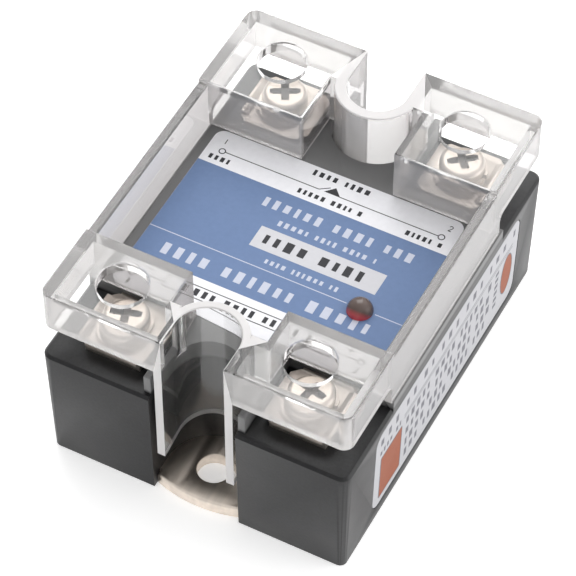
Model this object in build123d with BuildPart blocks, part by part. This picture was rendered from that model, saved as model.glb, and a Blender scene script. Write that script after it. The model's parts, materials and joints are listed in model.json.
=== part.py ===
from build123d import *
import math
import os

# Solid state relay, panel mount. Millimetres. +Z up, origin at the centre of the foot.
# Terminals 1 and 2 (load) are at the back, +Y. Terminals 3 and 4 (control) are at the front.

os.makedirs("parts", exist_ok=True)

# Housing
width = 44.5
length = 58.5
foot_inset = 0.5  # each side leans in this much at the foot
corner_r = 1.0
ledge_z = 19.5  # floor of the terminal ends
body_z = 22.8  # top of the raised middle, where the label lies
body_half = 16.3  # the raised middle ends at this |y|
rebate_z = 21.1  # step along each side that takes the cover's rail
rebate_x = 20.5
edge_break = 0.4
skirt_x = 20.2  # inner faces of the skirt
skirt_y = 27.2
skirt_top = 9.0
room_x = 18.2  # chamber for the circuit board
room_y = 15.0
room_top = 20.8
rib_t = 1.0
rib_end = 28.4

# Mounting notches and the base plate
notch_r = 6.3
notch_y = {-1: 24.75, 1: 23.25}  # the load end's notch reaches further in
notch_wall = 1.6
plate_t = 2.0
plate_gap = 0.1
tongue_end = 28.0  # the plate shows in each notch, its end bowed outwards
tongue_bow = 1.05
hole_y = 23.8  # half of the 47.6 mm mounting pitch
hole_r = 2.3

# Clear cover
cover_x = 22.1
cover_y = 28.6
cover_top = 31.2
cover_wall = 1.5
cover_sheet = 1.6
hood_z = 24.85  # lower edge of the outer walls, above the wire entry
inner_wall_z = 22.97
inner_wall_t = 0.9
front_wall_y = -16.4  # faces towards the label
back_wall_y = 13.5
side_wall_x = {-1: 6.5, 1: 7.2}  # walls of the hoods that face each other across the open middle
side_wall_t = 0.6
jog_y = 22.6  # past this |y| the notch wall alone closes the hood
rail_x = 20.7
rail_z = 21.15
rail_top = 30.6
rail_front = -16.6
rail_back = 15.2
u_inner = {-1: 4.5, 1: 4.3}  # control end, load end
u_outer = {-1: 5.65, 1: 5.95}
u_low = 7.6
u_rise = 2.0  # the lower edge of each notch wall climbs towards the middle
cover_corner = 1.5
cover_ease = 0.15
access_r = 3.4
access_at = {1: (-13.6, 21.5), 2: (13.6, 21.5), 3: (13.4, -22.3), 4: (-13.4, -22.3)}

# Terminals: M4 screw, captive nut, bar, clamp plate and washers
screw_x = 13.4
screw_y = 21.9
bar_w = 8.0
bar_t = 1.2
bar_end = 25.8
leg_w = 3.0
leg_y = 14.0
thread_r = 1.96
nut_bore_r = 2.0
clear_r = 2.2
nut_af = 7.0
nut_t = 3.2
nut_gap = 0.05
clamp_w = 9.6
clamp_l = 8.9
clamp_y = 21.85
clamp_t = 1.2
clamp_gap = 0.05
lip_h = 0.55
spring_r = 3.5
spring_t = 0.7
head_r = 3.1
head_t = 1.7
slot_length = 4.2
cross_length = 3.4
screw_tip_z = 13.6
relief_z = 12.6

bar_z = ledge_z + bar_t
clamp_z = bar_z + clamp_gap
spring_z = clamp_z + clamp_t
head_z = spring_z + spring_t

# Label and lamp
label_t = 0.12
label_w = 37.2
label_x = -0.35
label_front = -16.2
label_back = 13.4
led_x = 12.25
led_y = -6.15
led_r = 1.8
led_fit = 0.05
side_label_t = 0.12
side_label_r = 1.9
side_recess = 0.15
side_label = (-20.7, 22.3, 2.1, 17.9)  # y from, y to, z from, z to

# Circuit
board_z = skirt_top
board_t = 1.6
board_top = board_z + board_t
solder_t = 0.1
ceramic_t = 0.64
copper_t = 0.3
chip_t = 0.4
copper_top = plate_t + solder_t + ceramic_t + copper_t
chip_top = copper_top + chip_t

terminals = {1: (-screw_x, screw_y), 2: (screw_x, screw_y), 3: (screw_x, -screw_y), 4: (-screw_x, -screw_y)}
recess_turn = {1: 28, 2: 38, 3: -12, 4: 18}  # how far each screw happened to be turned
ends = (-1, 1)
sides = (-1, 1)


def save(builder, name):
    builder.part.label = name
    export_step(builder.part, f"parts/{name}.step")


def u_shape(half_width, end):
    """Add a U to the sketch: round towards the middle, open past the end face."""
    run = length / 2 + 1 - notch_y[end]
    with Locations((0, end * notch_y[end])):
        Circle(half_width)
    with Locations((0, end * (notch_y[end] + run / 2))):
        Rectangle(2 * half_width, run)


def box_between(x, y, z, mode=Mode.ADD):
    """A block given by its limits on each axis."""
    with Locations(((x[0] + x[1]) / 2, (y[0] + y[1]) / 2, (z[0] + z[1]) / 2)):
        Box(x[1] - x[0], y[1] - y[0], z[1] - z[0], mode=mode)


def hexagon_r(across_flats):
    return across_flats / math.sqrt(3)


# ---------------------------------------------------------------- base plate
with BuildPart() as base_plate:
    with BuildSketch():
        RectangleRounded(2 * (skirt_x - plate_gap), 2 * (skirt_y - plate_gap), corner_r)
        Rectangle(2 * (notch_r - plate_gap), 2 * tongue_end)
        for end in ends:
            tongue_half = notch_r - plate_gap
            with BuildLine():
                ThreePointArc(
                    (-tongue_half, end * tongue_end),
                    (0, end * (tongue_end + tongue_bow)),
                    (tongue_half, end * tongue_end),
                )
                Line((tongue_half, end * tongue_end), (-tongue_half, end * tongue_end))
            make_face()
    extrude(amount=plate_t)
    with Locations((0, -hole_y, plate_t), (0, hole_y, plate_t)):
        Hole(hole_r)
    chamfer(base_plate.faces().sort_by(Axis.Z)[-1].outer_wire().edges(), 0.2)
save(base_plate, "base_plate")

# ---------------------------------------------------------------- housing
lean = math.degrees(math.atan(foot_inset / ledge_z))
side_plane = Plane(
    origin=(width / 2 - foot_inset, 0, 0),
    x_dir=(0, 1, 0),
    z_dir=(math.cos(math.radians(lean)), 0, -math.sin(math.radians(lean))),
)
side_y0, side_y1, side_z0, side_z1 = side_label
side_mid = ((side_y0 + side_y1) / 2, (side_z0 + side_z1) / 2)
side_w = side_y1 - side_y0
side_h = side_z1 - side_z0

with BuildPart() as housing:
    with BuildSketch():
        RectangleRounded(width - 2 * foot_inset, length - 2 * foot_inset, corner_r)
    extrude(amount=ledge_z, taper=-lean)
    chamfer(housing.faces().sort_by(Axis.Z)[-1].outer_wire().edges(), edge_break)
    # raised middle, stepped along both sides, with ribs beside the notches
    box_between((-width / 2, width / 2), (-body_half, body_half), (ledge_z - 1, rebate_z))
    box_between((-rebate_x, rebate_x), (-body_half, body_half), (rebate_z, body_z))
    rib_x = notch_r + rib_t
    box_between((-rib_x, rib_x), (-rib_end, rib_end), (ledge_z, body_z))
    top_face = housing.faces().sort_by(Axis.Z)[-1]
    chamfer(top_face.outer_wire().edges(), edge_break / 2)
    # foot: pocket for the plate, then the skirt and the chamber above it
    with BuildSketch():
        Rectangle(2 * skirt_x, 2 * skirt_y)
    extrude(amount=plate_t, mode=Mode.SUBTRACT)
    with BuildSketch(Plane.XY.offset(plate_t)):
        Rectangle(2 * skirt_x, 2 * skirt_y)
        with BuildSketch(mode=Mode.SUBTRACT):
            for end in ends:
                u_shape(notch_r + notch_wall, end)
    extrude(amount=skirt_top - plate_t, mode=Mode.SUBTRACT)
    box_between((-room_x, room_x), (-room_y, room_y), (plate_t, room_top), Mode.SUBTRACT)
    with BuildSketch():
        for end in ends:
            u_shape(notch_r, end)
    extrude(amount=body_z, mode=Mode.SUBTRACT)
    # seats of the four terminals
    for x, y in terminals.values():
        with BuildSketch(Plane.XY.offset(ledge_z)):
            with Locations((x, y)):
                RegularPolygon(hexagon_r(nut_af) + nut_gap, 6)
        extrude(amount=-nut_t - nut_gap, mode=Mode.SUBTRACT)
        with BuildSketch(Plane.XY.offset(ledge_z)):
            with Locations((x, y)):
                Circle(clear_r)
        extrude(amount=relief_z - ledge_z, mode=Mode.SUBTRACT)
        wall_y = sorted((math.copysign(room_y - 0.5, y), math.copysign(body_half + 0.5, y)))
        slot_x = bar_w / 2 + nut_gap
        box_between((x - slot_x, x + slot_x), wall_y, (ledge_z, bar_z + nut_gap), Mode.SUBTRACT)
    # hole for the lamp, and the shallow recess of the side label
    with Locations((led_x, led_y, body_z)):
        Hole(led_r + led_fit, depth=body_z - room_top + 0.1)
    with BuildSketch(side_plane):
        with Locations(side_mid):
            RectangleRounded(side_w + 0.3, side_h + 0.3, side_label_r + 0.15)
    extrude(amount=-side_recess, mode=Mode.SUBTRACT)
save(housing, "housing")

# ---------------------------------------------------------------- labels
with BuildPart() as top_label:
    with BuildSketch(Plane.XY.offset(body_z)):
        with Locations((label_x, (label_front + label_back) / 2)):
            RectangleRounded(label_w, label_back - label_front, 1.4)
        with Locations((led_x, led_y)):
            Circle(led_r + 2 * led_fit, mode=Mode.SUBTRACT)
    extrude(amount=label_t)
save(top_label, "top_label")

with BuildPart() as side_label_part:
    with BuildSketch(side_plane.offset(-side_recess)):
        with Locations(side_mid):
            RectangleRounded(side_w, side_h, side_label_r)
    extrude(amount=side_label_t)
save(side_label_part, "side_label")

# ---------------------------------------------------------------- status lamp
led_base = room_top - 1.0
led_dome = body_z + label_t
with BuildPart() as status_lamp:
    with BuildSketch(Plane.XY.offset(led_base)):
        with Locations((led_x, led_y)):
            Circle(led_r + 0.35)
    extrude(amount=room_top - 0.05 - led_base)
    with BuildSketch(Plane.XY.offset(led_base)):
        with Locations((led_x, led_y)):
            Circle(led_r)
    extrude(amount=led_dome - led_base)
    with Locations((led_x, led_y, led_dome)):
        Sphere(led_r, arc_size1=0, align=(Align.CENTER, Align.CENTER, Align.MIN))
save(status_lamp, "status_lamp")

with BuildPart() as lamp_leads:
    for step in (-1.27, 1.27):
        box_between((led_x - 0.25, led_x + 0.25), (led_y + step - 0.25, led_y + step + 0.25), (board_z, led_base))
save(lamp_leads, "lamp_leads")

# ---------------------------------------------------------------- clear cover
hood_edge = {-1: front_wall_y, 1: back_wall_y}
with BuildPart() as clear_cover:
    # plan of the four hoods and of the two notch walls that join them
    with BuildSketch(Plane.XY.offset(inner_wall_z)):
        for end in ends:
            near = hood_edge[end]
            for side in sides:
                with Locations((side * (side_wall_x[side] + cover_x) / 2, (near + end * cover_y) / 2)):
                    Rectangle(cover_x - side_wall_x[side], abs(end * cover_y - near))
                # short wall that joins the hood to the notch wall
                join_x = side_wall_x[side] + side_wall_t - u_inner[end] - 0.5
                with Locations((side * (u_inner[end] + 0.5 + join_x / 2), end * (jog_y - 0.7 + cover_y) / 2)):
                    Rectangle(join_x, cover_y - jog_y + 0.7)
            u_shape(u_outer[end], end)
        with BuildSketch(mode=Mode.SUBTRACT):
            for end in ends:
                u_shape(u_inner[end], end)
        with BuildSketch(mode=Mode.INTERSECT):
            RectangleRounded(2 * cover_x, 2 * cover_y, cover_corner)
    extrude(amount=cover_top - inner_wall_z)
    # hollow each hood from below, and raise its outer walls above the wire entry
    for end in ends:
        near = hood_edge[end] + end * inner_wall_t
        far = end * (cover_y - cover_wall)
        for side in sides:
            x_in = side * (side_wall_x[side] + side_wall_t)
            x_arm = side * (u_outer[end] + 0.02)
            x_out = side * (cover_x - cover_wall)
            hollow_x = sorted((x_in, x_out))
            hollow_y = sorted((near, far))
            box_between(hollow_x, hollow_y, (inner_wall_z, cover_top - cover_sheet), Mode.SUBTRACT)
            past_x = sorted((x_arm, x_out))
            past_y = sorted((end * jog_y, far))
            box_between(past_x, past_y, (inner_wall_z, cover_top - cover_sheet), Mode.SUBTRACT)
            entry_x = sorted((x_arm, side * (cover_x + 1)))
            entry_y = sorted((far, end * (cover_y + 1)))
            box_between(entry_x, entry_y, (inner_wall_z, hood_z), Mode.SUBTRACT)
            flank_x = sorted((x_out, side * (cover_x + 1)))
            flank_y = sorted((hood_edge[end], end * (cover_y + 1)))
            box_between(flank_x, flank_y, (inner_wall_z, hood_z), Mode.SUBTRACT)
    # side rails, with a rounded step where they drop below the hoods
    for side in sides:
        middle = (rail_front + rail_back) / 2
        run = rail_back - rail_front
        with BuildSketch(Plane.YZ.offset(side * rail_x)):
            with Locations((middle, (rail_z + rail_top) / 2)):
                Rectangle(run, rail_top - rail_z)
            with Locations((middle, (hood_z + rail_top) / 2)):
                Rectangle(run + 4, rail_top - hood_z)
            steps = [v for v in vertices() if abs(v.Y - hood_z) < 0.01 and abs(v.X - middle) < run / 2 + 0.1]
            fillet(steps, 1.2)
        extrude(amount=side * (cover_x - rail_x))
    # lower part of the notch walls
    with BuildSketch(Plane.XY.offset(u_low)):
        with BuildSketch():
            for end in ends:
                u_shape(u_outer[end], end)
        with BuildSketch(mode=Mode.SUBTRACT):
            for end in ends:
                u_shape(u_inner[end], end)
        Rectangle(2 * cover_x, 2 * cover_y, mode=Mode.INTERSECT)
    extrude(amount=inner_wall_z - u_low + 0.5)
    for end in ends:
        apex = notch_y[end] - u_outer[end]
        with BuildSketch(Plane.YZ):
            Polygon(
                (end * cover_y, u_low - 1),
                (end * cover_y, u_low),
                (end * (apex - 1), u_low + u_rise * (cover_y - apex + 1) / (cover_y - apex)),
                (end * (apex - 1), u_low - 1),
                align=None,
            )
        extrude(amount=2 * u_outer[end], both=True, mode=Mode.SUBTRACT)
    # driver holes
    for x, y in access_at.values():
        with Locations((x, y, cover_top)):
            Hole(access_r, depth=cover_sheet + 0.1)
    # eased edges along the tops
    rail_edges = clear_cover.edges().filter_by(Axis.Y)
    fillet(rail_edges.filter_by_position(Axis.Z, rail_top - 0.01, rail_top + 0.01), 0.3)
    for top_face in clear_cover.faces().filter_by(Axis.Z).filter_by_position(Axis.Z, cover_top - 0.01, cover_top + 0.01):
        chamfer(top_face.edges(), cover_ease)
save(clear_cover, "clear_cover")

# ---------------------------------------------------------------- terminals
for number, (x, y) in terminals.items():
    end = int(math.copysign(1, y))
    side = int(math.copysign(1, x))
    load_side = number in (1, 2)

    with BuildPart() as terminal_bar:
        tab_y = sorted((end * (leg_y - bar_t / 2), end * bar_end))
        box_between((x - bar_w / 2, x + bar_w / 2), tab_y, (ledge_z, bar_z))
        leg_limits = sorted((end * (leg_y - bar_t / 2), end * (leg_y + bar_t / 2)))
        leg_foot = copper_top if load_side else board_z - 0.6
        box_between((x - leg_w / 2, x + leg_w / 2), leg_limits, (leg_foot, ledge_z))
        if load_side:
            foot_y = sorted((8.0, leg_y + bar_t / 2))
            box_between((x - leg_w / 2, x + leg_w / 2), foot_y, (copper_top, copper_top + bar_t))
        with Locations((x, y, bar_z)):
            Hole(clear_r, depth=bar_t + 0.1)
    save(terminal_bar, f"terminal_bar_{number}")

    with BuildPart() as clamp_plate:
        with BuildSketch(Plane.XY.offset(clamp_z)):
            with Locations((x, end * clamp_y)):
                Rectangle(clamp_w, clamp_l)
        extrude(amount=clamp_t)
        chamfer(clamp_plate.edges().filter_by(Axis.Z), 1.1)
        # lip turned up along the outer side
        with BuildSketch(Plane.XZ.offset(-(end * clamp_y - clamp_l / 2 + 1.1))):
            outer = x + side * clamp_w / 2
            Polygon(
                (outer, clamp_z + 0.2),
                (outer, clamp_z + clamp_t + lip_h),
                (outer - side * 0.4, clamp_z + clamp_t + lip_h),
                (outer - side * 1.2, clamp_z + clamp_t - 0.01),
                align=None,
            )
        extrude(amount=-(clamp_l - 2.2))
        with Locations((x, y, clamp_z + clamp_t)):
            Hole(clear_r, depth=clamp_t + 0.1)
        # shallow grooves below, which grip the wire
        for shift in (-3.2, 3.2):
            groove_y = (y + shift - 0.25, y + shift + 0.25)
            box_between((x - 3.4, x + 3.4), groove_y, (clamp_z, clamp_z + 0.2), Mode.SUBTRACT)
    save(clamp_plate, f"clamp_plate_{number}")

    with BuildPart() as spring_washer:
        with BuildSketch(Plane.XY.offset(spring_z)):
            with Locations((x, y)):
                Circle(spring_r)
                Circle(clear_r, mode=Mode.SUBTRACT)
            with Locations((x + side * spring_r, y)):
                Rectangle(3.2, 0.6, rotation=20 * side, mode=Mode.SUBTRACT)
        extrude(amount=spring_t)
    save(spring_washer, f"spring_washer_{number}")

    with BuildPart() as terminal_screw:
        with BuildSketch(Plane.XY.offset(screw_tip_z)):
            with Locations((x, y)):
                Circle(thread_r)
        extrude(amount=head_z - screw_tip_z)
        chamfer(terminal_screw.faces().sort_by(Axis.Z)[0].edges(), 0.5)
        with BuildSketch(Plane.XY.offset(head_z)):
            with Locations((x, y)):
                Circle(head_r)
        extrude(amount=head_t)
        fillet(terminal_screw.faces().sort_by(Axis.Z)[-1].edges(), 0.7)
        # combination recess: a straight slot and a shorter, deeper cross
        with BuildSketch(Plane.XY.offset(head_z + head_t)):
            with Locations(Location((x, y), recess_turn[number])):
                Rectangle(slot_length, 0.9)
        extrude(amount=-0.7, mode=Mode.SUBTRACT)
        with BuildSketch(Plane.XY.offset(head_z + head_t)):
            with Locations(Location((x, y), recess_turn[number])):
                Rectangle(1.1, cross_length)
                Rectangle(cross_length, 1.1)
        extrude(amount=-1.3, mode=Mode.SUBTRACT)
    save(terminal_screw, f"terminal_screw_{number}")

with BuildPart() as terminal_nuts:
    for x, y in terminals.values():
        with BuildSketch(Plane.XY.offset(ledge_z - nut_t)):
            with Locations((x, y)):
                RegularPolygon(hexagon_r(nut_af), 6)
                Circle(nut_bore_r, mode=Mode.SUBTRACT)
        extrude(amount=nut_t - nut_gap / 2)
save(terminal_nuts, "terminal_nuts")

# ---------------------------------------------------------------- power stage on the plate
pad_x = 8.0
pad_w = 14.0
pad_l = 22.0
chip_w = 7.0
chip_x = 6.0
chip_y = -2.0
with BuildPart() as solder_layer:
    box_between((-15.5, 15.5), (-12.5, 12.5), (plate_t, plate_t + solder_t))
save(solder_layer, "solder_layer")

with BuildPart() as ceramic_substrate:
    box_between((-16, 16), (-13, 13), (plate_t + solder_t, plate_t + solder_t + ceramic_t))
save(ceramic_substrate, "ceramic_substrate")

with BuildPart() as copper_pads:
    for side in sides:
        with Locations((side * pad_x, 0, copper_top - copper_t / 2)):
            Box(pad_w, pad_l, copper_t)
save(copper_pads, "copper_pads")

with BuildPart() as thyristor_chips:
    for side in sides:
        with Locations((side * chip_x, chip_y, copper_top + chip_t / 2)):
            Box(chip_w, chip_w, chip_t)
save(thyristor_chips, "thyristor_chips")

# each strap joins the top of one chip to the pad of the other
strap_t = 0.5
with BuildPart() as chip_straps:
    for side in sides:
        row = chip_y + side * 2.2
        limits = (row - 0.9, row + 0.9)
        reach = sorted((side * (chip_x + 2), -side * 2.2))
        box_between(reach, limits, (chip_top, chip_top + strap_t))
        toe = sorted((-side * 1.2, -side * 2.2))
        box_between(toe, limits, (copper_top, chip_top))
save(chip_straps, "chip_straps")

with BuildPart() as gate_leads:
    for side in sides:
        with BuildSketch(Plane.XY.offset(chip_top)):
            with Locations((side * 8.6, chip_y - side * 2.4)):
                Circle(0.3)
        extrude(amount=board_top + 0.4 - chip_top)
save(gate_leads, "gate_leads")

# ---------------------------------------------------------------- circuit board and its parts
with BuildPart() as circuit_board:
    box_between((-room_x + 0.2, room_x - 0.2), (-room_y + 0.2, room_y - 0.2), (board_z, board_top))
    for x, y in terminals.values():
        leg = math.copysign(leg_y, y)
        with Locations((x, leg, board_z + board_t / 2)):
            Box(leg_w + 0.1, bar_t + 0.1, board_t + 0.2, mode=Mode.SUBTRACT)
    for side in sides:
        with Locations((side * 8.6, chip_y - side * 2.4, board_top)):
            Hole(0.35)
    for step in (-1.27, 1.27):
        with Locations((led_x, led_y + step, board_z + board_t / 2)):
            Box(0.6, 0.6, board_t + 0.2, mode=Mode.SUBTRACT)
save(circuit_board, "circuit_board")

with BuildPart() as optocoupler:
    body_low = board_top + 0.6
    box_between((-5.2, 1.4), (-3.6, 3.7), (body_low, body_low + 3.3))
    fillet(optocoupler.edges().filter_by(Axis.Z), 0.3)
    for pin in (-2.54, 0, 2.54):
        for face, out in ((-5.2, -0.5), (1.4, 0.5)):
            lead = sorted((face + out, face - out))
            box_between(lead, (pin - 0.25, pin + 0.25), (board_top, body_low + 1.6))
save(optocoupler, "optocoupler")

with BuildPart() as snubber_capacitor:
    box_between((-8.5, 4.5), (7.2, 12.0), (board_top, board_top + 8.6))
    fillet(snubber_capacitor.edges(), 0.4)
save(snubber_capacitor, "snubber_capacitor")


def axial_part(name, at, body_r, body_l, along):
    """A leaded part lying on the board, with its wires bent down at both ends."""
    cx, cy = at
    lift = board_top + body_r + 0.3
    turn = Vector(1, 0, 0) if along == "x" else Vector(0, 1, 0)
    reach = body_l / 2 + 1.6
    with BuildPart() as piece:
        with BuildSketch(Plane(origin=(cx, cy, lift), z_dir=turn)):
            Circle(body_r)
        extrude(amount=body_l / 2, both=True)
        fillet(piece.edges().filter_by(GeomType.CIRCLE), body_r * 0.3)
        for way in sides:
            inside = Vector(cx, cy, lift) + turn * (way * (body_l / 2 - 0.5))
            bend = Vector(cx, cy, lift) + turn * (way * reach)
            with BuildLine():
                FilletPolyline(inside, bend, Vector(bend.X, bend.Y, board_top), radius=0.7)
            with BuildSketch(Plane(origin=inside, z_dir=turn * way)):
                Circle(0.3)
            sweep()
    save(piece, name)


axial_part("snubber_resistor", (-12.5, 2.5), 1.6, 8.0, "y")
axial_part("gate_resistor_a", (6.2, 4.6), 1.05, 5.4, "x")
axial_part("gate_resistor_b", (-9.5, -10.5), 1.05, 5.4, "x")
axial_part("input_diode", (0.5, -10.5), 1.3, 4.6, "x")

with BuildPart() as input_transistor:
    with BuildSketch(Plane.XY.offset(board_top + 2.0)):
        with Locations((6.8, -9.0)):
            Circle(2.4)
            with Locations((0, -2.2)):
                Rectangle(6, 2.0, mode=Mode.SUBTRACT)
    extrude(amount=4.6)
    for step in (-1.27, 0, 1.27):
        box_between((6.55 + step, 7.05 + step), (-9.25, -8.75), (board_top, board_top + 2.0))
save(input_transistor, "input_transistor")

with BuildPart() as surge_varistor:
    with BuildSketch(Plane.XZ.offset(-11.0)):
        with Locations((9.6, board_top + 4.6)):
            Circle(3.9)
    extrude(amount=2.8)
    fillet(surge_varistor.edges(), 0.8)
    for lead_x in (7.1, 12.1):
        box_between((lead_x - 0.3, lead_x + 0.3), (9.3, 9.9), (board_top, board_top + 3.4))
save(surge_varistor, "surge_varistor")

# ---------------------------------------------------------------- potting
pot_gap = 0.05
with BuildPart() as potting_resin:
    with BuildSketch(Plane.XY.offset(plate_t)):
        Rectangle(2 * (skirt_x - pot_gap), 2 * (skirt_y - pot_gap))
        with BuildSketch(mode=Mode.SUBTRACT):
            for end in ends:
                u_shape(notch_r + notch_wall + pot_gap, end)
    extrude(amount=skirt_top - plate_t)
    box_between((-16, 16), (-13, 13), (plate_t, chip_top + strap_t), Mode.SUBTRACT)
    for number, (x, y) in terminals.items():
        near = 8.0 if number in (1, 2) else math.copysign(leg_y, y) - bar_t / 2
        far = math.copysign(leg_y, y) + bar_t / 2
        low = copper_top if number in (1, 2) else board_z - 0.6
        leg_x = (x - leg_w / 2, x + leg_w / 2)
        box_between(leg_x, (far - bar_t, far), (low, skirt_top), Mode.SUBTRACT)
        if number in (1, 2):
            box_between(leg_x, (near, far), (copper_top, copper_top + bar_t), Mode.SUBTRACT)
    for side in sides:
        with Locations((side * 8.6, chip_y - side * 2.4, skirt_top)):
            Hole(0.3, depth=skirt_top - plate_t)
save(potting_resin, "potting_resin")
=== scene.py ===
import json
import math
import random

import bmesh
import bpy
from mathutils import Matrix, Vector


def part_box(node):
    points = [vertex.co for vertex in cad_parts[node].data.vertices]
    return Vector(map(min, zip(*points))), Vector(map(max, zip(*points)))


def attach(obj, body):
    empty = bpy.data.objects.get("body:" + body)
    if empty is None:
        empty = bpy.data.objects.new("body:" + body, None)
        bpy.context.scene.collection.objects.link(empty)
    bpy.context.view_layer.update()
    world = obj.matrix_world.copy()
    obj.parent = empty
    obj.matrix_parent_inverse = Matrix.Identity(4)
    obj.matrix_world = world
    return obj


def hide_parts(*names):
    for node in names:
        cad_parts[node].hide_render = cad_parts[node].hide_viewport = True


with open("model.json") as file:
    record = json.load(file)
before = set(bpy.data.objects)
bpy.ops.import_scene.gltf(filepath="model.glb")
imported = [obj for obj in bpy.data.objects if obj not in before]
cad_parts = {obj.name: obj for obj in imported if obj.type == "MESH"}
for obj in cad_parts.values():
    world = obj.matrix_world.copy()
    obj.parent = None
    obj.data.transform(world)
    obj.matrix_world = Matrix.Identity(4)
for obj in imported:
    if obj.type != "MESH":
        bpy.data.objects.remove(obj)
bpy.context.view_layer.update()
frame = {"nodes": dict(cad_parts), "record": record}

MM = 0.001
NODES = frame["nodes"]


# ---------------------------------------------------------------- materials
def nodes_of(mat):
    mat.use_nodes = True
    return mat.node_tree.nodes, mat.node_tree.links


def surface(name, colour, rough, metallic=0.0, spread=0.06, grain=900.0, bump=0.1, depth=0.03 * MM,
            stretch=(1, 1, 1), wear=0.08, coat=0.0, specular=0.5, painted_light=None, painted_light_z=0.0):
    """A worked surface: noise moves its colour and roughness a little and lifts a fine grain.

    With a paler top colour given, what lies above the given height takes it: painted light.
    """
    mat = bpy.data.materials.new(name)
    nodes, links = nodes_of(mat)
    shader = nodes["Principled BSDF"]
    shader.inputs["Metallic"].default_value = metallic
    shader.inputs["Coat Weight"].default_value = coat
    shader.inputs["Specular IOR Level"].default_value = specular
    place = nodes.new("ShaderNodeTexCoord")
    scale = nodes.new("ShaderNodeMapping")
    scale.inputs["Scale"].default_value = stretch
    links.new(place.outputs["Object"], scale.inputs["Vector"])
    noise = nodes.new("ShaderNodeTexNoise")
    noise.inputs["Scale"].default_value = grain
    noise.inputs["Detail"].default_value = 4
    links.new(scale.outputs["Vector"], noise.inputs["Vector"])
    ramp = nodes.new("ShaderNodeValToRGB")
    ramp.color_ramp.elements[0].position = 0.3
    ramp.color_ramp.elements[1].position = 0.7
    low = [max(0.0, c * (1 - spread)) for c in colour]
    high = [min(1.0, c * (1 + spread)) for c in colour]
    ramp.color_ramp.elements[0].color = (*low, 1)
    ramp.color_ramp.elements[1].color = (*high, 1)
    links.new(noise.outputs["Fac"], ramp.inputs["Fac"])
    # painted light: above the given height the colour turns paler
    if painted_light:
        split = nodes.new("ShaderNodeSeparateXYZ")
        links.new(place.outputs["Object"], split.inputs["Vector"])
        above = nodes.new("ShaderNodeMapRange")
        above.inputs["From Min"].default_value = painted_light_z - 0.3 * MM
        above.inputs["From Max"].default_value = painted_light_z + 0.3 * MM
        links.new(split.outputs["Z"], above.inputs["Value"])
        blend = nodes.new("ShaderNodeMix")
        blend.data_type = "RGBA"
        colour_in = [socket for socket in blend.inputs if socket.type == "RGBA"]
        colour_in[1].default_value = (*painted_light, 1)
        links.new(above.outputs["Result"], blend.inputs["Factor"])
        links.new(ramp.outputs["Color"], colour_in[0])
        colour_out = [socket for socket in blend.outputs if socket.type == "RGBA"]
        links.new(colour_out[0], shader.inputs["Base Color"])
    else:
        links.new(ramp.outputs["Color"], shader.inputs["Base Color"])
    soft = nodes.new("ShaderNodeTexNoise")
    soft.inputs["Scale"].default_value = 130
    soft.inputs["Detail"].default_value = 2
    links.new(place.outputs["Object"], soft.inputs["Vector"])
    spanned = nodes.new("ShaderNodeMapRange")
    spanned.inputs["To Min"].default_value = max(0.02, rough - wear)
    spanned.inputs["To Max"].default_value = min(1.0, rough + wear)
    links.new(soft.outputs["Fac"], spanned.inputs["Value"])
    links.new(spanned.outputs["Result"], shader.inputs["Roughness"])
    lift = nodes.new("ShaderNodeBump")
    lift.inputs["Strength"].default_value = bump
    lift.inputs["Distance"].default_value = depth
    links.new(noise.outputs["Fac"], lift.inputs["Height"])
    links.new(lift.outputs["Normal"], shader.inputs["Normal"])
    return mat


def clear_plastic(name, tint, rough, through, ior=1.45):
    """Polished or frosted clear plastic. What does not pass through scatters in the tint."""
    mat = bpy.data.materials.new(name)
    nodes, links = nodes_of(mat)
    shader = nodes["Principled BSDF"]
    shader.inputs["Base Color"].default_value = (*tint, 1)
    shader.inputs["IOR"].default_value = ior
    shader.inputs["Transmission Weight"].default_value = through
    place = nodes.new("ShaderNodeTexCoord")
    noise = nodes.new("ShaderNodeTexNoise")
    noise.inputs["Scale"].default_value = 160
    noise.inputs["Detail"].default_value = 3
    links.new(place.outputs["Object"], noise.inputs["Vector"])
    span = nodes.new("ShaderNodeMapRange")
    span.inputs["To Min"].default_value = rough * 0.5
    span.inputs["To Max"].default_value = rough * 1.5
    links.new(noise.outputs["Fac"], span.inputs["Value"])
    links.new(span.outputs["Result"], shader.inputs["Roughness"])
    return mat


def film(name, colour, spread=0.02):
    """Printed film or ink: satin, nearly flat and nearly even."""
    return surface(name, colour, 0.5, spread=spread, grain=1500, bump=0.05, depth=0.01 * MM, specular=0.2)


# above its ledge, under the cover, the housing is painted paler than its outer walls: painted light making up
# for the light the clear cover keeps off those faces
HOUSING = surface("housing_black", (0.014, 0.014, 0.015), 0.40, spread=0.25, grain=2600, bump=0.25,
                  depth=0.04 * MM, specular=0.36, painted_light=(0.165, 0.165, 0.166), painted_light_z=19.9 * MM)
CLEAR = clear_plastic("clear_plastic", (0.95, 0.95, 0.943), 0.025, 0.97)
HAZY = clear_plastic("clear_plastic_haze", (0.90, 0.885, 0.875), 0.04, 0.70)
# the cover's walls facing ±X take this grey tint: painted shade standing in for their darker look
SIDE_SHADE_PLASTIC = clear_plastic("clear_plastic_side_shade", (0.66, 0.64, 0.64), 0.03, 0.86)
FROSTED = clear_plastic("clear_plastic_edge", (0.86, 0.84, 0.835), 0.35, 0.30)
BASE = surface("base_metal", (0.85, 0.76, 0.67), 0.36, metallic=1.0, spread=0.10, grain=900,
               stretch=(1, 0.05, 1), bump=0.12, depth=0.02 * MM, wear=0.1)
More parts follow.
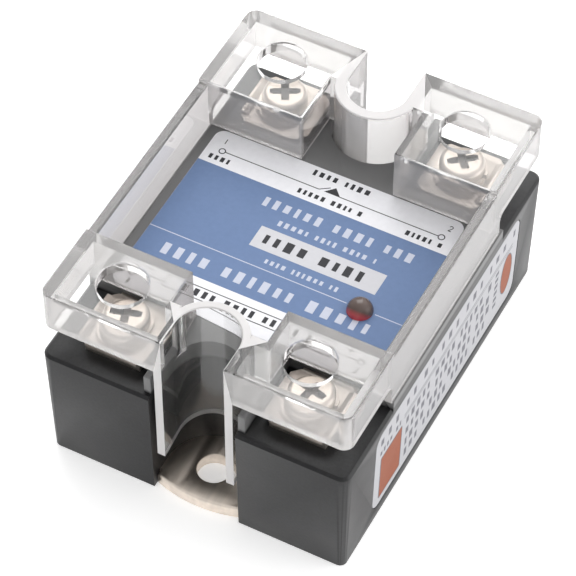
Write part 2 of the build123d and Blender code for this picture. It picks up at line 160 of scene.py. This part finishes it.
# label_white and label_box are the same white paper; label_white is made paler as painted light, making up
# for the shade the clear hoods cast on it
PAPER = film("label_white", (0.84, 0.84, 0.87))
BOX_PAPER = film("label_box", (0.60, 0.60, 0.63))
SIDE_PAPER = film("side_label_white", (0.42, 0.42, 0.44))
BLUE = film("label_blue", (0.142, 0.214, 0.378), spread=0.03)
INK = film("label_ink", (0.035, 0.035, 0.04), spread=0.05)
SIDE_INK = film("side_label_ink", (0.14, 0.14, 0.16), spread=0.1)
WHITE_INK = film("label_white_ink", (0.55, 0.58, 0.68))
ORANGE = film("label_orange", (0.26, 0.062, 0.020), spread=0.06)
NICKEL = surface("nickel", (0.52, 0.46, 0.41), 0.36, metallic=1.0, spread=0.05, grain=1200, bump=0.12,
                 depth=0.02 * MM)
# painted shade: a dark dull nickel laid on the screws' driver recesses where shade falls
RECESS_SHADE = surface("nickel_recess_shade", (0.13, 0.10, 0.085), 0.55, metallic=0.7, spread=0.2, grain=900,
                 bump=0.2, depth=0.02 * MM)
CLAMP = surface("clamp_nickel", (0.60, 0.54, 0.49), 0.46, metallic=1.0, spread=0.06, grain=700,
                stretch=(1, 0.2, 1), bump=0.12, depth=0.02 * MM)
TINNED = surface("tinned_copper", (0.66, 0.62, 0.56), 0.42, metallic=1.0, spread=0.08, grain=800, bump=0.15)
COPPER = surface("bare_copper", (0.72, 0.36, 0.22), 0.35, metallic=1.0, spread=0.08, grain=900, bump=0.12)
SOLDER = surface("solder", (0.55, 0.56, 0.58), 0.45, metallic=1.0, spread=0.1, grain=700, bump=0.3)
ALUMINA = surface("alumina", (0.80, 0.78, 0.72), 0.6, spread=0.04, grain=1600, bump=0.15)
SILICON = surface("silicon", (0.10, 0.11, 0.14), 0.12, metallic=0.6, spread=0.05, grain=300, bump=0.02)
BOARD = surface("board_green", (0.03, 0.14, 0.05), 0.35, spread=0.2, grain=500, bump=0.2, coat=0.3)
CHIP = surface("chip_black", (0.02, 0.02, 0.022), 0.5, spread=0.2, grain=2400, bump=0.3)
FILM = surface("film_yellow", (0.52, 0.34, 0.05), 0.35, spread=0.06, grain=900, bump=0.1, coat=0.3)
RESISTOR = surface("resistor_body", (0.16, 0.32, 0.42), 0.4, spread=0.06, grain=900, bump=0.1, coat=0.3)
DIODE = surface("diode_glass", (0.36, 0.08, 0.03), 0.15, spread=0.1, grain=700, bump=0.05, coat=0.5)
VARISTOR = surface("varistor_blue", (0.03, 0.08, 0.26), 0.3, spread=0.1, grain=700, bump=0.2, coat=0.5)
POTTING = surface("potting", (0.02, 0.018, 0.018), 0.3, spread=0.2, grain=400, bump=0.3, depth=0.1 * MM)


def lamp_material(tilt=0.95, red_below=14.7 * MM, smoky_above=15.7 * MM):
    """Smoky lens, red where it meets the label on the control side.

    The colour turns with Y + tilt * Z, so the border between the two leans over the dome.
    """
    mat = bpy.data.materials.new("lamp_red")
    nodes, links = nodes_of(mat)
    shader = nodes["Principled BSDF"]
    place = nodes.new("ShaderNodeTexCoord")
    split = nodes.new("ShaderNodeSeparateXYZ")
    links.new(place.outputs["Object"], split.inputs["Vector"])
    rise = nodes.new("ShaderNodeMath")
    rise.operation = "MULTIPLY_ADD"
    rise.inputs[1].default_value = tilt
    links.new(split.outputs["Z"], rise.inputs[0])
    links.new(split.outputs["Y"], rise.inputs[2])
    span = nodes.new("ShaderNodeMapRange")
    span.inputs["From Min"].default_value = red_below
    span.inputs["From Max"].default_value = smoky_above
    links.new(rise.outputs["Value"], span.inputs["Value"])
    ramp = nodes.new("ShaderNodeValToRGB")
    ramp.color_ramp.elements[0].color = (0.50, 0.05, 0.055, 1)
    ramp.color_ramp.elements[1].color = (0.095, 0.062, 0.052, 1)
    links.new(span.outputs["Result"], ramp.inputs["Fac"])
    links.new(ramp.outputs["Color"], shader.inputs["Base Color"])
    shader.inputs["Roughness"].default_value = 0.16
    shader.inputs["Coat Weight"].default_value = 0.3
    return mat


LAMP = lamp_material()

SLOTS = {
    "housing_black": HOUSING, "clear_plastic": CLEAR, "base_metal": BASE, "label_blue": PAPER,
    "label_grey": SIDE_PAPER, "lamp_red": LAMP, "nickel": NICKEL, "clamp_nickel": CLAMP,
    "tinned_copper": TINNED, "bare_copper": COPPER, "solder": SOLDER, "alumina": ALUMINA,
    "silicon": SILICON, "board_green": BOARD, "chip_black": CHIP, "film_yellow": FILM,
    "resistor_body": RESISTOR, "diode_glass": DIODE, "varistor_blue": VARISTOR, "potting": POTTING,
}
slot_of = {part["node"]: part["material_slot"] for part in frame["record"]["subparts"]}
for node, obj in NODES.items():
    obj.data.materials.clear()
    obj.data.materials.append(SLOTS[slot_of[node]])


# ---------------------------------------------------------------- faces of the cover and the screws
def dress_cover():
    """Frost the narrow moulded edges and haze the walls; the walls facing ±X are tinted grey as painted
    shade.

    The tops of the hoods and the wall round the front notch stay polished.
    """
    top_z, hood_foot_z, post_y = 30.9, 26, 28.5
    notch_x, notch_y = 6.2, 16.9
    front_wall_x, front_wall_y = 6.0, 10
    cover = NODES["clear_cover"]
    for material in (FROSTED, HAZY, SIDE_SHADE_PLASTIC):
        cover.data.materials.append(material)
    frosted, hazy, side_shade = 1, 2, 3
    for face in cover.data.polygons:
        centre = Vector(face.center) / MM
        normal = face.normal
        by_notch = abs(centre.x) < notch_x
        front_wall = abs(centre.x) <= front_wall_x and centre.y <= front_wall_y
        notch_top = normal.z > 0.6 and centre.z > top_z and by_notch and abs(centre.y) > notch_y
        lower_edge = normal.z < -0.5 and centre.z < hood_foot_z
        post_end = abs(normal.y) > 0.9 and abs(centre.y) > post_y and by_notch
        upright = abs(normal.z) < 0.3 and not front_wall
        if notch_top or lower_edge or post_end:
            face.material_index = frosted
        elif upright:
            # walls facing ±X take the grey-tinted copy: painted shade
            face.material_index = side_shade if abs(normal.x) > 0.9 else hazy


def shade_screw_recess(node, reach=2.3 * MM, deep=1.4 * MM, shallow=0.05 * MM):
    """Paint shade into the driver recess: its walls and foot lie within reach of the axis and take the dark
    dull nickel.
    """
    screw = NODES[node]
    low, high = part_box(node)
    axis_x, axis_y, head_top = (low[0] + high[0]) / 2, (low[1] + high[1]) / 2, high[2]
    screw.data.materials.append(RECESS_SHADE)
    for face in screw.data.polygons:
        centre = screw.matrix_world @ Vector(face.center)
        radius = math.hypot(centre.x - axis_x, centre.y - axis_y)
        wall = abs(face.normal.z) < 0.05
        foot = face.normal.z > 0.95 and centre.z < head_top - shallow
        if radius < reach and centre.z > head_top - deep and (wall or foot):
            face.material_index = 1


dress_cover()
for n in "1234":
    shade_screw_recess("terminal_screw_" + n)


# ---------------------------------------------------------------- pieces
def piece(name, bm, body, material):
    mesh = bpy.data.meshes.new(name)
    bmesh.ops.recalc_face_normals(bm, faces=bm.faces)
    bm.to_mesh(mesh)
    bm.free()
    obj = bpy.data.objects.new(name, mesh)
    bpy.context.scene.collection.objects.link(obj)
    mesh.materials.append(material)
    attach(obj, body)
    return obj


def softened(node, body, width, angle=28):
    """The same solid with its hard edges eased, shown in place of the node."""
    bm = bmesh.new()
    bm.from_mesh(NODES[node].data)
    bmesh.ops.remove_doubles(bm, verts=bm.verts, dist=1e-7)
    bmesh.ops.dissolve_limit(bm, angle_limit=math.radians(1.0), verts=bm.verts, edges=bm.edges)
    obj = piece(node + "_eased", bm, body, SLOTS[slot_of[node]])
    bevel = obj.modifiers.new("ease", "BEVEL")
    bevel.width = width
    bevel.segments = 2
    bevel.limit_method = "ANGLE"
    bevel.angle_limit = math.radians(angle)
    bevel.use_clamp_overlap = True
    bevel.harden_normals = True
    for face in obj.data.polygons:
        face.use_smooth = True
    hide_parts(node)


softened("housing", "frame", 0.12 * MM)
softened("base_plate", "frame", 0.12 * MM)
for n in "1234":
    softened("clamp_plate_" + n, "clamp_" + n, 0.16 * MM)


# ---------------------------------------------------------------- shapes of the print, in millimetres
def on_top(u, v, h):
    """A point above the foot of the relay: u across, v along, h up."""
    return Vector((u * MM, v * MM, h * MM))


def prism(bm, corners, layer, place=on_top):
    """A thin closed solid over the corners, from the low to the high of the layer."""
    low, high = layer
    bottom = [bm.verts.new(place(u, v, low)) for u, v in corners]
    top = [bm.verts.new(place(u, v, high)) for u, v in corners]
    count = len(corners)
    bm.faces.new(top)
    bm.faces.new(bottom[::-1])
    for i in range(count):
        j = (i + 1) % count
        bm.faces.new((bottom[i], bottom[j], top[j], top[i]))


def rect(u0, v0, u1, v1):
    return [(u0, v0), (u1, v0), (u1, v1), (u0, v1)]


def rounded(u0, v0, u1, v1, r, steps=6):
    points = []
    right, left, back, front = u1 - r, u0 + r, v1 - r, v0 + r
    for cu, cv, start in ((right, back, 0), (left, back, 90), (left, front, 180), (right, front, 270)):
        for k in range(steps + 1):
            a = math.radians(start + 90 * k / steps)
            points.append((cu + r * math.cos(a), cv + r * math.sin(a)))
    return points


def ellipse(cu, cv, ru, rv, steps=30):
    turns = [math.radians(360 / steps * k) for k in range(steps)]
    return [(cu + ru * math.cos(a), cv + rv * math.sin(a)) for a in turns]


def stroke(bm, a, b, width, layer, place=on_top):
    du, dv = b[0] - a[0], b[1] - a[1]
    size = math.hypot(du, dv)
    nu, nv = -dv / size * width / 2, du / size * width / 2
    corners = [(a[0] + nu, a[1] + nv), (b[0] + nu, b[1] + nv), (b[0] - nu, b[1] - nv), (a[0] - nu, a[1] - nv)]
    prism(bm, corners[::-1], layer, place)


def ring(bm, cu, cv, layer, r=0.44, width=0.15, steps=24):
    rows = []
    for radius in (r - width / 2, r + width / 2):
        for h in layer:
            rows.append([bm.verts.new(on_top(cu + radius * math.cos(2 * math.pi * k / steps),
                                             cv + radius * math.sin(2 * math.pi * k / steps), h))
                         for k in range(steps)])
    inner_low, inner_high, outer_low, outer_high = rows
    for k in range(steps):
        j = (k + 1) % steps
        bm.faces.new((inner_high[k], outer_high[k], outer_high[j], inner_high[j]))
        bm.faces.new((outer_low[k], inner_low[k], inner_low[j], outer_low[j]))
        bm.faces.new((outer_high[k], outer_low[k], outer_low[j], outer_high[j]))
        bm.faces.new((inner_low[k], inner_high[k], inner_high[j], inner_low[j]))


def marks(bm, u0, u1, v, height, seed, layer, place=on_top, gap=0.42, word=5):
    """A row of blank slim dashes in groups, in place of a line of print."""
    pick = random.Random(seed)
    u = u0
    count = 0
    while u < u1 - 0.2 * height:
        width = height * pick.uniform(0.30, 0.55)
        end = min(u + width, u1)
        half_tall = height * pick.choice((0.36, 0.42, 0.42))
        prism(bm, rect(u, v - half_tall, end, v + half_tall), layer, place)
        u = end + gap * height
        count += 1
        if count >= word + pick.choice((-1, 0, 1)):
            u += height * 0.6
            count = 0


def polyline(bm, points, width, layer, place=on_top):
    for a, b in zip(points, points[1:]):
        stroke(bm, a, b, width, layer, place)


def outline(bm, points, width, layer, place=on_top):
    polyline(bm, points + points[:1], width, layer, place)


# plain terminal numerals as strokes on a grid one wide and two tall
DIGITS = {
    "1": [(0.5, 0), (0.5, 2)],
    "2": [(0, 1.6), (0.25, 2), (0.75, 2), (1, 1.6), (1, 1.25), (0, 0), (1, 0)],
    "3": [(0, 1.75), (0.3, 2), (0.7, 2), (1, 1.7), (1, 1.3), (0.5, 1.05), (1, 0.8), (1, 0.3), (0.7, 0),
          (0.3, 0), (0, 0.25)],
    "4": [(0.75, 0), (0.75, 2), (0, 0.6), (1, 0.6)],
}


def digit(bm, text, u, v, layer, size=0.9):
    polyline(bm, [(u + p * size / 2, v + q * size / 2) for p, q in DIGITS[text]], 0.12, layer)


# ---------------------------------------------------------------- print on the top label
# each layer of print is sunk a little into what it lies on
SINK, THICK = 0.004, 0.012
label_low, label_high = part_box("top_label")
PAPER_TOP = label_high[2] / MM
FIELD_TOP = PAPER_TOP + THICK
BOX_TOP = PAPER_TOP + 2 * THICK
ON_PAPER = (PAPER_TOP - SINK, FIELD_TOP)
ON_FIELD = (FIELD_TOP - SINK, BOX_TOP)
ON_BOX = (BOX_TOP - SINK, BOX_TOP + 0.01)
PLUS_UPRIGHT = (PAPER_TOP - SINK, FIELD_TOP + 0.003)  # stands over the plus sign's other bar
MARGIN = 0.02
FIELD_LEFT, FIELD_RIGHT = label_low[0] / MM + MARGIN, label_high[0] / MM - MARGIN
FIELD_FRONT, FIELD_BACK = -11.0, 7.3
FINE, RULE = 0.13, 0.14


def print_field():
    bm = bmesh.new()
    prism(bm, rect(FIELD_LEFT, FIELD_FRONT, FIELD_RIGHT, FIELD_BACK), ON_PAPER)
    piece("label_blue_field", bm, "frame", BLUE)


def print_type_box():
    bm = bmesh.new()
    prism(bm, rect(-5.7, -3.0, 12.8, 0.7), ON_FIELD)
    piece("label_type_box", bm, "frame", BOX_PAPER)


def print_on_field():
    """White rows of dashes, and a rule that stops either side of the lamp."""
    rule_y = -5.9
    bm = bmesh.new()
    stroke(bm, (FIELD_LEFT, rule_y), (10.2, rule_y), RULE, ON_FIELD)
    stroke(bm, (14.3, rule_y), (FIELD_RIGHT, rule_y), RULE, ON_FIELD)
    rows = [(-7.5, 14.5, 4.7, 1.9, 3), (-4.0, 10.4, 2.1, 1.1, 5),
            (-2.5, 8.6, -4.5, 1.0, 7), (-15.5, 15.8, -8.6, 2.3, 11)]
    for left, right, y, height, seed in rows:
        marks(bm, left, right, y, height, seed, ON_FIELD)
    piece("label_white_print", bm, "frame", WHITE_INK)


def print_load_end(bm):
    """The switch between terminals 1 and 2: a line, its arm and arrow, and a circle at each end."""
    line_y, words_y = 9.9, 8.5
    stroke(bm, (-16.2, line_y), (-2.0, line_y), FINE, ON_PAPER)
    stroke(bm, (-2.0, line_y), (-0.7, 10.8), FINE, ON_PAPER)
    stroke(bm, (1.1, line_y), (15.7, line_y), FINE, ON_PAPER)
    ring(bm, -16.65, line_y, ON_PAPER)
    ring(bm, 16.15, line_y, ON_PAPER)
    prism(bm, [(-1.2, 9.85), (1.2, 9.85), (0, 11.1)], ON_PAPER)
    rows = [(-4.0, 4.6, 12.3, 1.2, 13), (-4.4, 5.4, words_y, 1.0, 17),
            (-17.9, -14.6, words_y, 1.0, 19), (11.6, 17.4, words_y, 1.0, 23)]
    for left, right, y, height, seed in rows:
        marks(bm, left, right, y, height, seed, ON_PAPER)
    digit(bm, "1", -17.2, 11.2, ON_PAPER)
    digit(bm, "2", 16.4, 11.3, ON_PAPER)


def print_control_end(bm):
    """A box with a lead and a circle on each side, plus and minus, and terminals 3 and 4."""
    box_left, box_right, box_back, box_front = -12.2, 12.3, -12.3, -14.3
    lead_y, sign_y, digit_y = -13.7, -12.6, -15.6
    corners = [(box_left, box_back), (box_right, box_back), (box_right, box_front), (box_left, box_front)]
    outline(bm, corners, FINE, ON_PAPER)
    marks(bm, -9.5, 9.0, -13.3, 1.4, 29, ON_PAPER)
    stroke(bm, (box_right, lead_y), (16.0, lead_y), FINE, ON_PAPER)
    stroke(bm, (-16.5, lead_y), (box_left, lead_y), FINE, ON_PAPER)
    ring(bm, 16.45, lead_y, ON_PAPER)
    ring(bm, -16.95, lead_y, ON_PAPER)
    stroke(bm, (14.0, sign_y), (15.0, sign_y), RULE, ON_PAPER)
    stroke(bm, (14.5, -13.1), (14.5, -12.1), RULE, PLUS_UPRIGHT)
    stroke(bm, (-15.2, sign_y), (-14.2, sign_y), RULE, ON_PAPER)
    digit(bm, "3", 16.2, digit_y, ON_PAPER)
    digit(bm, "4", -17.0, digit_y, ON_PAPER)


def print_on_paper():
    bm = bmesh.new()
    print_load_end(bm)
    print_control_end(bm)
    piece("label_black_print", bm, "frame", INK)


def print_on_box():
    bm = bmesh.new()
    marks(bm, -4.4, 11.6, -1.15, 2.1, 31, ON_BOX)
    piece("label_box_print", bm, "frame", INK)


print_field()
print_type_box()
print_on_field()
print_on_paper()
print_on_box()

# ---------------------------------------------------------------- print on the side label
# the right-hand face of the housing leans in by half a millimetre at the foot
FOOT_INSET, LEDGE_Z = 0.5, 19.5
LEAN = FOOT_INSET / LEDGE_Z
NORMAL = Vector((1, 0, -LEAN)).normalized()
SIDE_X = 21.75  # where that face meets the foot
LABEL_BELOW = 0.03  # the label's face lies this much under the housing's own face
ON_SIDE = (-SINK, THICK)
OVER_ORANGE = (-SINK, 0.018)


def on_side(y, z, h):
    """A point on the leaning right-hand face: h is out of the label's own face."""
    base = Vector(((SIDE_X + LEAN * z) * MM, y * MM, z * MM))
    return base + NORMAL * ((h - LABEL_BELOW) * MM)


SQUARE = rounded(-19.0, 3.4, -12.9, 12.2, 0.3)
OVAL = ellipse(19.3, 8.7, 1.7, 4.0)


def print_side_orange():
    bm = bmesh.new()
    prism(bm, SQUARE, ON_SIDE, on_side)
    prism(bm, OVAL, ON_SIDE, on_side)
    piece("side_label_orange", bm, "frame", ORANGE)


def print_side_ink():
    """Edges of the orange shapes, two rules, and rows of blank dashes above and below them."""
    rule_front, rule_back = -12.4, 20.6
    row_top_z, row_pitch, tick_z, tick_pitch = 11.7, 2.35, 5.0, 1.35
    bm = bmesh.new()
    outline(bm, SQUARE, 0.16, OVER_ORANGE, on_side)
    outline(bm, OVAL, 0.16, OVER_ORANGE, on_side)
    for rule_z in (13.75, 13.2):
        stroke(bm, (rule_front, rule_z), (rule_back, rule_z), 0.12, ON_SIDE, on_side)
    marks(bm, -19.3, 21.0, 15.8, 1.7, 37, ON_SIDE, on_side, gap=0.8, word=2)
    for k in range(4):
        z = row_top_z - k * row_pitch
        marks(bm, -11.6, 14.2, z, 1.75, 41 + k, ON_SIDE, on_side, gap=0.45, word=4)
    marks(bm, -19.3, -13.4, 13.5, 1.1, 53, ON_SIDE, on_side)
    for k in range(6):
        z = tick_z + tick_pitch * k
        prism(bm, rect(15.5, z, 16.5, z + 0.7), ON_SIDE, on_side)
    piece("side_label_print", bm, "frame", SIDE_INK)


print_side_orange()
print_side_ink()


# ---------------------------------------------------------------- floor, light, camera
def make_floor(half=1.2):
    mesh = bpy.data.meshes.new("floor")
    corners = [(-half, -half, 0), (half, -half, 0), (half, half, 0), (-half, half, 0)]
    mesh.from_pydata(corners, [], [(0, 1, 2, 3)])
    floor = bpy.data.objects.new("floor", mesh)
    bpy.context.scene.collection.objects.link(floor)
    mat = surface("floor_paper", (0.93, 0.93, 0.93), 0.9, spread=0.005, grain=20, bump=0.0)
    shader = mat.node_tree.nodes["Principled BSDF"]
    shader.inputs["Emission Color"].default_value = (1, 1, 1, 1)
    shader.inputs["Emission Strength"].default_value = 0.40
    mesh.materials.append(mat)
    floor.location.z = -0.05 * MM


def make_world():
    """A soft studio: brighter above, behind and to the right, darker towards the viewer."""
    world = bpy.data.worlds.new("studio")
    bpy.context.scene.world = world
    nodes, links = nodes_of(world)
    sky = nodes["Background"]
    sky.inputs["Strength"].default_value = 0.95
    coord = nodes.new("ShaderNodeTexCoord")
    ways = nodes.new("ShaderNodeSeparateXYZ")
    links.new(coord.outputs["Generated"], ways.inputs["Vector"])

    def ramp(way, low, high):
        span = nodes.new("ShaderNodeMapRange")
        span.inputs["From Min"].default_value = -1.0
        span.inputs["From Max"].default_value = 1.0
        span.inputs["To Min"].default_value = low
        span.inputs["To Max"].default_value = high
        links.new(ways.outputs[way], span.inputs["Value"])
        return span.outputs["Result"]

    def times(a, b):
        product = nodes.new("ShaderNodeMath")
        product.operation = "MULTIPLY"
        links.new(a, product.inputs[0])
        links.new(b, product.inputs[1])
        return product.outputs["Value"]

    level = times(ramp("X", 0.80, 1.20), ramp("Y", 0.42, 1.42))
    level = times(level, ramp("Z", 0.75, 1.25))
    tone = nodes.new("ShaderNodeCombineColor")
    for channel in ("Red", "Green", "Blue"):
        links.new(level, tone.inputs[channel])
    links.new(tone.outputs["Color"], sky.inputs["Color"])


def area_light(name, place, size, power, aim=(0, 0, 0.015)):
    data = bpy.data.lights.new(name, "AREA")
    data.size = size
    data.energy = power
    light = bpy.data.objects.new(name, data)
    bpy.context.scene.collection.objects.link(light)
    light.location = place
    light.rotation_euler = (Vector(aim) - Vector(place)).to_track_quat("-Z", "Y").to_euler()


def make_camera():
    """Look down on the control end from its right-hand corner."""
    azimuth, elevation, distance = math.radians(27.7), math.radians(50.44), 0.42078
    target = Vector((-2.66, 2.29, 10.0)) * MM
    level = math.cos(elevation)
    back = Vector((math.sin(azimuth) * level, -math.cos(azimuth) * level, math.sin(elevation)))
    data = bpy.data.cameras.new("camera")
    data.sensor_width = 36
    data.lens = 194.49
    camera = bpy.data.objects.new("camera", data)
    bpy.context.scene.collection.objects.link(camera)
    camera.location = target + back * distance
    camera.rotation_euler = (-back).to_track_quat("-Z", "Y").to_euler()
    bpy.context.scene.camera = camera


make_floor()
make_world()
area_light("key", (-0.22, 0.42, 0.58), 0.5, 1.7)
area_light("side", (0.6, 0.15, 0.25), 0.4, 0.9)
make_camera()
bpy.context.scene.view_settings.view_transform = "Standard"
